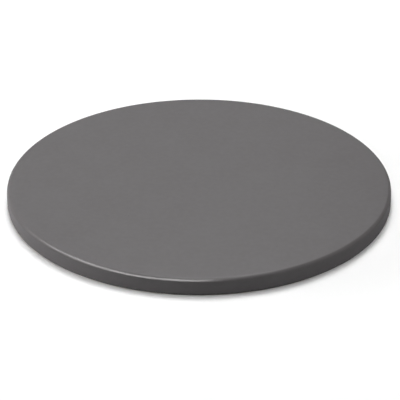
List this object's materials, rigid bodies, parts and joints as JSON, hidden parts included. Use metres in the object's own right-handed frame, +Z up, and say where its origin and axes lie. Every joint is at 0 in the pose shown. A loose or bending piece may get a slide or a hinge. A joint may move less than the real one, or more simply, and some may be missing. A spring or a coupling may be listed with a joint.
{
  "type": "pizza stone",
  "caption": "Round glazed pizza stone: a flat ceramic disc with softly rounded glazed edges and a bare underside, to bake on in an oven or on a grill.",
  "frame": {"origin": "centre of the underside, on the surface that the stone stands on", "axes": "+Z up, along the stone's axis, out of the glazed baking face; the stone is round, so +X and +Y are any two level directions at right angles"},
  "size_m": [0.3599, 0.3598, 0.016],
  "materials": {
    "bare_cordierite": "unglazed biscuit, matt and slightly gritty",
    "grey_glaze": "satin fired glaze"
  },
  "bodies": {
    "root": {"cordierite_slab": "bare_cordierite", "glaze_coat": "grey_glaze"}
  },
  "joints": []
}
